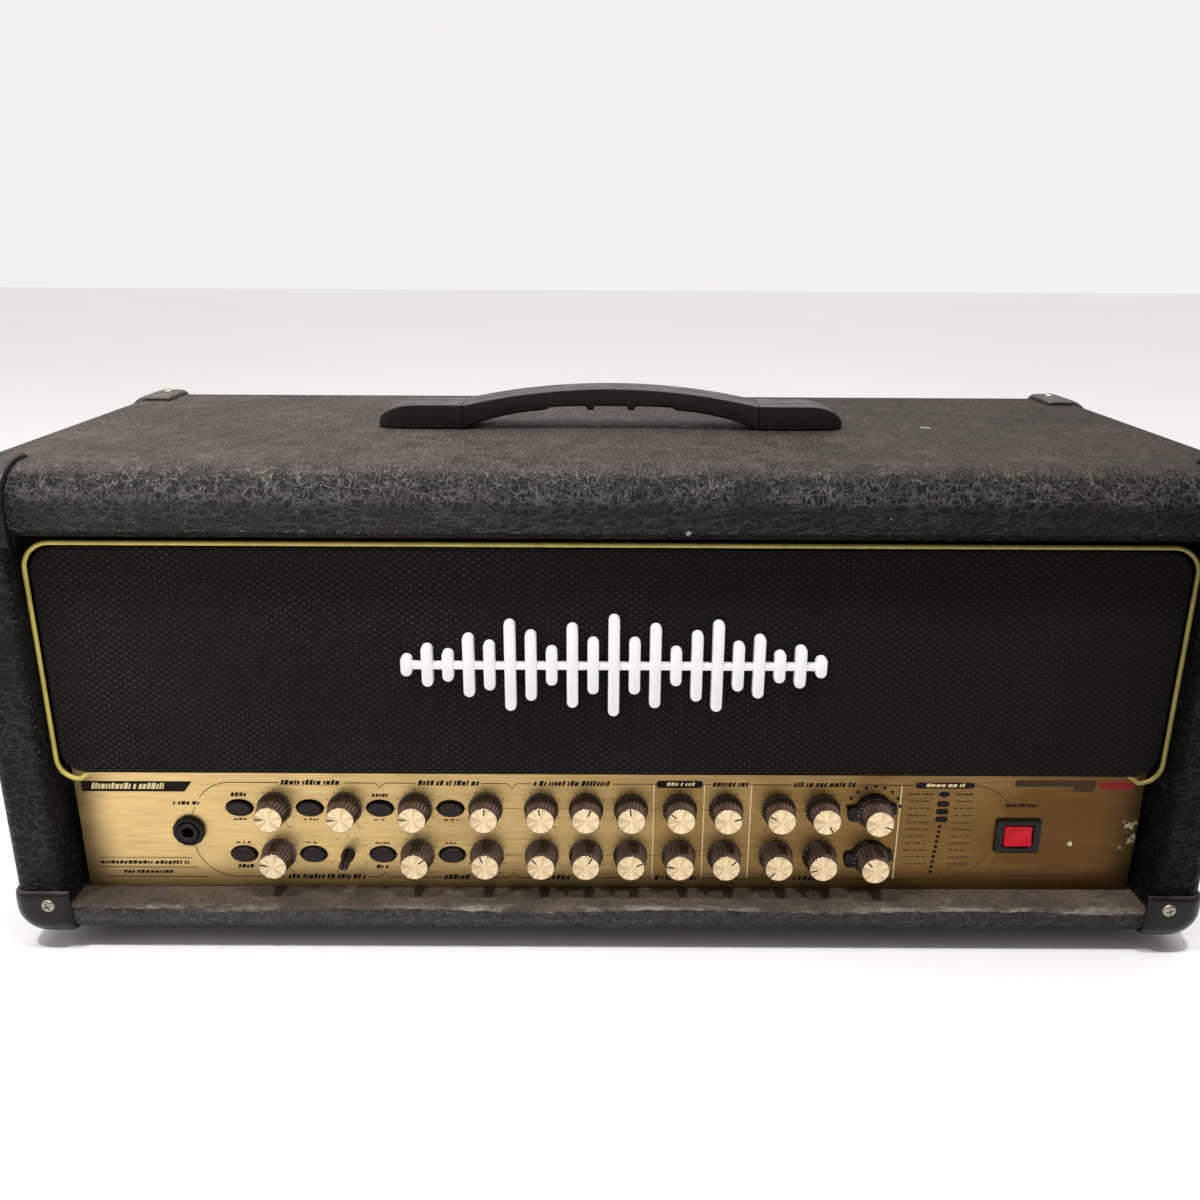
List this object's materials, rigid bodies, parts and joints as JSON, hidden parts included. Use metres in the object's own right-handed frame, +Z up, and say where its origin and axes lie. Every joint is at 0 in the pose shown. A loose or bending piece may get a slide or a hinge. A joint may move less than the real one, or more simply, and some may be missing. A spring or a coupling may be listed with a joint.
{
  "type": "guitar amplifier head",
  "caption": "Black vinyl-covered guitar amplifier head with a recessed cloth grille, gold control panel, fluted knobs, push buttons, a rocker switch and a top handle.",
  "frame": {"origin": "on the floor under the middle of the cabinet, at the bottom of the feet", "axes": "+X to the right as seen from the front, the front faces -Y, +Z up"},
  "size_m": [0.68, 0.28, 0.309],
  "materials": {
    "covering": "plywood under black coarse-grained vinyl",
    "grille_cloth": "board under black woven speaker cloth with fine pale dots",
    "gold_piping": "gold bead, slightly metallic",
    "gold_panel": "brushed gold, printed in black",
    "black_plastic": "satin black",
    "knob_plastic": "dark brown-black, fluted, with a spun metal cap",
    "red_lens": "translucent red",
    "white_plastic": "glossy white",
    "rubber": "matte black",
    "plated_steel": "zinc plated",
    "transformer_iron": "varnished laminations",
    "aluminium": "extruded, clear",
    "circuit_board": "green solder mask",
    "ceramic": "off-white",
    "valve_glass": "clear glass",
    "handle_plastic": "satin dark grey"
  },
  "bodies": {
    "cabinet": {"cabinet_shell": "covering", "rear_panel": "covering", "foot_front_left": "rubber", "foot_front_right": "rubber", "foot_rear_left": "rubber", "foot_rear_right": "rubber", "grille_board": "grille_cloth", "grille_piping": "gold_piping", "name_badge": "white_plastic", "front_panel": "gold_panel", "input_jack": "black_plastic", "rocker_housing": "black_plastic", "control_board": "circuit_board", "main_board": "circuit_board", "chassis": "plated_steel", "speaker_jack_1": "black_plastic", "speaker_jack_2": "black_plastic", "mains_inlet": "black_plastic", "power_transformer": "transformer_iron", "heat_sink": "aluminium", "valve_socket": "ceramic", "preamp_valve": "valve_glass", "handle_strap": "handle_plastic", "handle_cap_left": "handle_plastic", "handle_cap_right": "handle_plastic"},
    "knob_upper_01": {"knob_upper_01": "knob_plastic"},
    "knob_upper_02": {"knob_upper_02": "knob_plastic"},
    "knob_upper_03": {"knob_upper_03": "knob_plastic"},
    "knob_upper_04": {"knob_upper_04": "knob_plastic"},
    "knob_upper_05": {"knob_upper_05": "knob_plastic"},
    "knob_upper_06": {"knob_upper_06": "knob_plastic"},
    "knob_upper_07": {"knob_upper_07": "knob_plastic"},
    "knob_upper_08": {"knob_upper_08": "knob_plastic"},
    "knob_upper_09": {"knob_upper_09": "knob_plastic"},
    "knob_upper_10": {"knob_upper_10": "knob_plastic"},
    "knob_upper_11": {"knob_upper_11": "knob_plastic"},
    "knob_upper_12": {"knob_upper_12": "knob_plastic"},
    "knob_lower_01": {"knob_lower_01": "knob_plastic"},
    "pot_shaft_lower_02": {"pot_shaft_lower_02": "knob_plastic"},
    "knob_lower_03": {"knob_lower_03": "knob_plastic"},
    "knob_lower_04": {"knob_lower_04": "knob_plastic"},
    "knob_lower_05": {"knob_lower_05": "knob_plastic"},
    "knob_lower_06": {"knob_lower_06": "knob_plastic"},
    "knob_lower_07": {"knob_lower_07": "knob_plastic"},
    "knob_lower_08": {"knob_lower_08": "knob_plastic"},
    "knob_lower_09": {"knob_lower_09": "knob_plastic"},
    "knob_lower_10": {"knob_lower_10": "knob_plastic"},
    "knob_lower_11": {"knob_lower_11": "knob_plastic"},
    "knob_lower_12": {"knob_lower_12": "knob_plastic"},
    "selector_ring_upper": {"selector_ring_upper": "black_plastic"},
    "selector_ring_lower": {"selector_ring_lower": "black_plastic"},
    "button_upper_1": {"button_upper_1": "black_plastic"},
    "button_upper_2": {"button_upper_2": "black_plastic"},
    "button_upper_3": {"button_upper_3": "black_plastic"},
    "button_upper_4": {"button_upper_4": "black_plastic"},
    "button_lower_1": {"button_lower_1": "black_plastic"},
    "button_lower_2": {"button_lower_2": "black_plastic"},
    "button_lower_3": {"button_lower_3": "black_plastic"},
    "button_lower_4": {"button_lower_4": "black_plastic"},
    "power_rocker": {"power_rocker": "red_lens"}
  },
  "joints": [
    {"name": "knob_upper_01_turn", "type": "hinge", "parent": "cabinet", "child": "knob_upper_01", "pos_m": [-0.1943, -0.1171, 0.0805], "axis": [0, 1, 0], "range_deg": [-62, 238]},
    {"name": "knob_upper_02_turn", "type": "hinge", "parent": "cabinet", "child": "knob_upper_02", "pos_m": [-0.1535, -0.1171, 0.0805], "axis": [0, 1, 0], "range_deg": [-58, 242]},
    {"name": "knob_upper_03_turn", "type": "hinge", "parent": "cabinet", "child": "knob_upper_03", "pos_m": [-0.1127, -0.1171, 0.0805], "axis": [0, 1, 0], "range_deg": [-65, 235]},
    {"name": "knob_upper_04_turn", "type": "hinge", "parent": "cabinet", "child": "knob_upper_04", "pos_m": [-0.0719, -0.1171, 0.0805], "axis": [0, 1, 0], "range_deg": [-155, 145]},
    {"name": "knob_upper_05_turn", "type": "hinge", "parent": "cabinet", "child": "knob_upper_05", "pos_m": [-0.0396, -0.1171, 0.0805], "axis": [0, 1, 0], "range_deg": [-145, 155]},
    {"name": "knob_upper_06_turn", "type": "hinge", "parent": "cabinet", "child": "knob_upper_06", "pos_m": [-0.0136, -0.1171, 0.0805], "axis": [0, 1, 0], "range_deg": [-172, 128]},
    {"name": "knob_upper_07_turn", "type": "hinge", "parent": "cabinet", "child": "knob_upper_07", "pos_m": [0.0124, -0.1171, 0.0805], "axis": [0, 1, 0], "range_deg": [-145, 155]},
    {"name": "knob_upper_08_turn", "type": "hinge", "parent": "cabinet", "child": "knob_upper_08", "pos_m": [0.0408, -0.1171, 0.0805], "axis": [0, 1, 0], "range_deg": [-98, 202]},
    {"name": "knob_upper_09_turn", "type": "hinge", "parent": "cabinet", "child": "knob_upper_09", "pos_m": [0.0676, -0.1171, 0.0805], "axis": [0, 1, 0], "range_deg": [-225, 75]},
    {"name": "knob_upper_10_turn", "type": "hinge", "parent": "cabinet", "child": "knob_upper_10", "pos_m": [0.0981, -0.1171, 0.0805], "axis": [0, 1, 0], "range_deg": [-88, 212]},
    {"name": "knob_upper_11_turn", "type": "hinge", "parent": "cabinet", "child": "knob_upper_11", "pos_m": [0.1238, -0.1171, 0.0805], "axis": [0, 1, 0], "range_deg": [-300, 0]},
    {"name": "knob_upper_12_turn", "type": "hinge", "parent": "cabinet", "child": "knob_upper_12", "pos_m": [0.1534, -0.1171, 0.0805], "axis": [0, 1, 0], "range_deg": [-265, 35]},
    {"name": "knob_lower_01_turn", "type": "hinge", "parent": "cabinet", "child": "knob_lower_01", "pos_m": [-0.1943, -0.1171, 0.05], "axis": [0, 1, 0], "range_deg": [-70, 230]},
    {"name": "pot_shaft_lower_02_turn", "type": "hinge", "parent": "cabinet", "child": "pot_shaft_lower_02", "pos_m": [-0.1535, -0.1171, 0.05], "axis": [0, 1, 0], "range_deg": [-150, 150]},
    {"name": "knob_lower_03_turn", "type": "hinge", "parent": "cabinet", "child": "knob_lower_03", "pos_m": [-0.1127, -0.1171, 0.05], "axis": [0, 1, 0], "range_deg": [-200, 100]},
    {"name": "knob_lower_04_turn", "type": "hinge", "parent": "cabinet", "child": "knob_lower_04", "pos_m": [-0.0719, -0.1171, 0.05], "axis": [0, 1, 0], "range_deg": [-128, 172]},
    {"name": "knob_lower_05_turn", "type": "hinge", "parent": "cabinet", "child": "knob_lower_05", "pos_m": [-0.0396, -0.1171, 0.05], "axis": [0, 1, 0], "range_deg": [-105, 195]},
    {"name": "knob_lower_06_turn", "type": "hinge", "parent": "cabinet", "child": "knob_lower_06", "pos_m": [-0.0136, -0.1171, 0.05], "axis": [0, 1, 0], "range_deg": [-180, 120]},
    {"name": "knob_lower_07_turn", "type": "hinge", "parent": "cabinet", "child": "knob_lower_07", "pos_m": [0.0124, -0.1171, 0.05], "axis": [0, 1, 0], "range_deg": [-215, 85]},
    {"name": "knob_lower_08_turn", "type": "hinge", "parent": "cabinet", "child": "knob_lower_08", "pos_m": [0.0408, -0.1171, 0.05], "axis": [0, 1, 0], "range_deg": [-67, 233]},
    {"name": "knob_lower_09_turn", "type": "hinge", "parent": "cabinet", "child": "knob_lower_09", "pos_m": [0.0676, -0.1171, 0.05], "axis": [0, 1, 0], "range_deg": [-200, 100]},
    {"name": "knob_lower_10_turn", "type": "hinge", "parent": "cabinet", "child": "knob_lower_10", "pos_m": [0.0981, -0.1171, 0.05], "axis": [0, 1, 0], "range_deg": [-10, 290]},
    {"name": "knob_lower_11_turn", "type": "hinge", "parent": "cabinet", "child": "knob_lower_11", "pos_m": [0.1238, -0.1171, 0.05], "axis": [0, 1, 0], "range_deg": [-45, 255]},
    {"name": "knob_lower_12_turn", "type": "hinge", "parent": "cabinet", "child": "knob_lower_12", "pos_m": [0.1534, -0.1171, 0.05], "axis": [0, 1, 0], "range_deg": [-110, 190]},
    {"name": "selector_ring_upper_turn", "type": "hinge", "parent": "cabinet", "child": "selector_ring_upper", "pos_m": [0.1534, -0.1171, 0.0805], "axis": [0, 1, 0], "range_deg": [-52, 248]},
    {"name": "selector_ring_lower_turn", "type": "hinge", "parent": "cabinet", "child": "selector_ring_lower", "pos_m": [0.1534, -0.1171, 0.05], "axis": [0, 1, 0], "range_deg": [-52, 248]},
    {"name": "button_upper_1_press", "type": "slide", "parent": "cabinet", "child": "button_upper_1", "axis": [0, 1, 0], "range_m": [0, 0.0015], "stiffness_N_per_m": 100, "springref_m": -0.003},
    {"name": "button_upper_2_press", "type": "slide", "parent": "cabinet", "child": "button_upper_2", "axis": [0, 1, 0], "range_m": [0, 0.0015], "stiffness_N_per_m": 100, "springref_m": -0.003},
    {"name": "button_upper_3_press", "type": "slide", "parent": "cabinet", "child": "button_upper_3", "axis": [0, 1, 0], "range_m": [0, 0.0015], "stiffness_N_per_m": 100, "springref_m": -0.003},
    {"name": "button_upper_4_press", "type": "slide", "parent": "cabinet", "child": "button_upper_4", "axis": [0, 1, 0], "range_m": [0, 0.0015], "stiffness_N_per_m": 100, "springref_m": -0.003},
    {"name": "button_lower_1_press", "type": "slide", "parent": "cabinet", "child": "button_lower_1", "axis": [0, 1, 0], "range_m": [0, 0.0015], "stiffness_N_per_m": 100, "springref_m": -0.003},
    {"name": "button_lower_2_press", "type": "slide", "parent": "cabinet", "child": "button_lower_2", "axis": [0, 1, 0], "range_m": [0, 0.0015], "stiffness_N_per_m": 100, "springref_m": -0.003},
    {"name": "button_lower_3_press", "type": "slide", "parent": "cabinet", "child": "button_lower_3", "axis": [0, 1, 0], "range_m": [0, 0.0015], "stiffness_N_per_m": 100, "springref_m": -0.003},
    {"name": "button_lower_4_press", "type": "slide", "parent": "cabinet", "child": "button_lower_4", "axis": [0, 1, 0], "range_m": [0, 0.0015], "stiffness_N_per_m": 100, "springref_m": -0.003},
    {"name": "power_rocker_tilt", "type": "hinge", "parent": "cabinet", "child": "power_rocker", "pos_m": [0.2388, -0.1151, 0.0645], "axis": [1, 0, 0], "range_deg": [0, 16]}
  ]
}
